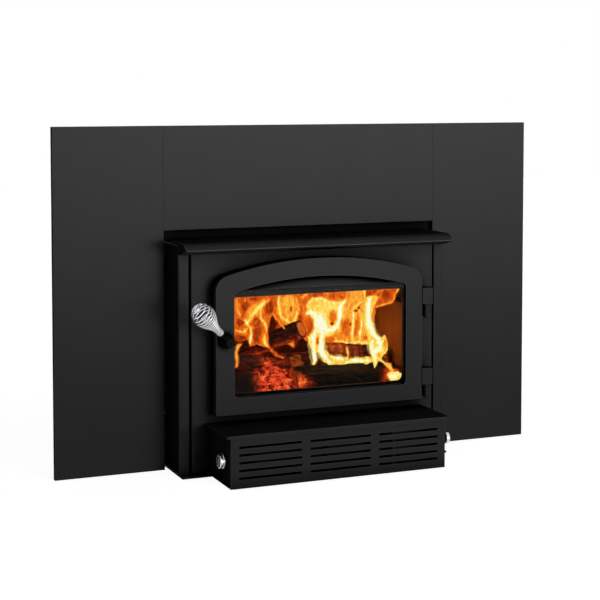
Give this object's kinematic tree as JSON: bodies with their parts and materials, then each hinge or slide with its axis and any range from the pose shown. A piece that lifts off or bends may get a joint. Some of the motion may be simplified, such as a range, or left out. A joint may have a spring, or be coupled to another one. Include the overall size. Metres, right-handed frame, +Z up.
{
  "type": "fireplace insert",
  "caption": "Wood-burning fireplace insert with an arched glass door, spring handle, front blower and folded steel surround.",
  "frame": {"origin": "on the hearth at the pan's flat underside, midway across, in the plane of the surround's front face", "axes": "+X to the right as seen from the room, +Y back into the chimney, +Z up"},
  "size_m": [1.1176, 0.666, 0.7366],
  "materials": {
    "surround_paint": "fine satin black powder coat",
    "stove_paint": "matte black stove paint",
    "cast_iron": "matte black stove paint over fine casting grain",
    "heat_steel": "sooted bare steel plate",
    "stainless_tube": "heat-tinted stainless",
    "firebrick": "dry refractory brick",
    "baffle_board": "pressed fibre board",
    "pane": "clear glass ceramic",
    "seal": "graphited glass fibre",
    "zinc_steel": "zinc plated",
    "arm_paint": "satin black",
    "spring_steel": "nickel plated wire",
    "fan_metal": "mill finish sheet",
    "control_plastic": "moulded black",
    "knob_metal": "polished",
    "embers": "ash with glowing coals",
    "flame": "thin sheet of burning gas",
    "charred_wood": "charred split logs"
  },
  "bodies": {
    "root": {"surround_left": "surround_paint", "surround_right": "surround_paint", "surround_top": "surround_paint", "surround_brackets": "stove_paint", "panel_screws": "stove_paint", "base_pan": "stove_paint", "casing_left": "stove_paint", "casing_right": "stove_paint", "casing_back": "stove_paint", "casing_top": "stove_paint", "front_plate": "stove_paint", "cornice": "cast_iron", "support_legs": "heat_steel", "firebox_floor": "heat_steel", "firebox_left_wall": "heat_steel", "firebox_right_wall": "heat_steel", "firebox_back_wall": "heat_steel", "firebox_top": "heat_steel", "flue_collar": "heat_steel", "floor_bricks": "firebrick", "left_bricks": "firebrick", "right_bricks": "firebrick", "back_bricks": "firebrick", "air_tubes": "stainless_tube", "baffle_boards": "baffle_board", "wash_deflector": "heat_steel", "hinge_lugs": "stove_paint", "hinge_pins": "arm_paint", "blower_floor": "stove_paint", "blower_grille": "stove_paint", "blower_left_end": "stove_paint", "blower_right_end": "stove_paint", "ash_shelf": "stove_paint", "fan_scrolls": "stove_paint", "fan_motor": "stove_paint", "speed_control": "control_plastic", "cord_grommet": "control_plastic", "air_box": "stove_paint", "ember_bed": "embers", "lower_logs": "charred_wood", "upper_logs": "charred_wood", "flames": "flame", "closure_angle": "arm_paint"},
    "door": {"door_frame": "cast_iron", "door_glass": "pane", "glass_gasket": "seal", "glass_clips": "zinc_steel", "clip_screws": "zinc_steel", "door_gasket": "seal", "hinge_blocks": "stove_paint", "handle_bush": "arm_paint"},
    "handle": {"latch_shaft": "arm_paint", "handle_arm": "arm_paint", "spring_grip": "spring_steel"},
    "fan": {"fan_shaft": "zinc_steel", "fan_wheels": "fan_metal"},
    "speed_dial": {"speed_knob": "knob_metal"},
    "air_pull": {"damper_plate": "zinc_steel", "air_rod": "zinc_steel", "air_knob": "knob_metal"}
  },
  "joints": [
    {"name": "door_swing", "type": "hinge", "parent": "root", "child": "door", "pos_m": [0.2565, -0.095, 0.2693], "axis": [0, 0, 1], "range_deg": [0, 115]},
    {"name": "handle_turn", "type": "hinge", "parent": "door", "child": "handle", "pos_m": [-0.22, -0.12, 0.289], "axis": [0, -1, 0], "range_deg": [0, 90]},
    {"name": "fan_spin", "type": "hinge", "parent": "root", "child": "fan", "pos_m": [-0.062, -0.14, 0.055], "axis": [1, 0, 0], "continuous": true},
    {"name": "speed_turn", "type": "hinge", "parent": "root", "child": "speed_dial", "pos_m": [-0.25, -0.17, 0.052], "axis": [-1, 0, 0], "range_deg": [0, 270]},
    {"name": "air_slide", "type": "slide", "parent": "root", "child": "air_pull", "axis": [1, 0, 0], "range_m": [0, 0.045]}
  ]
}
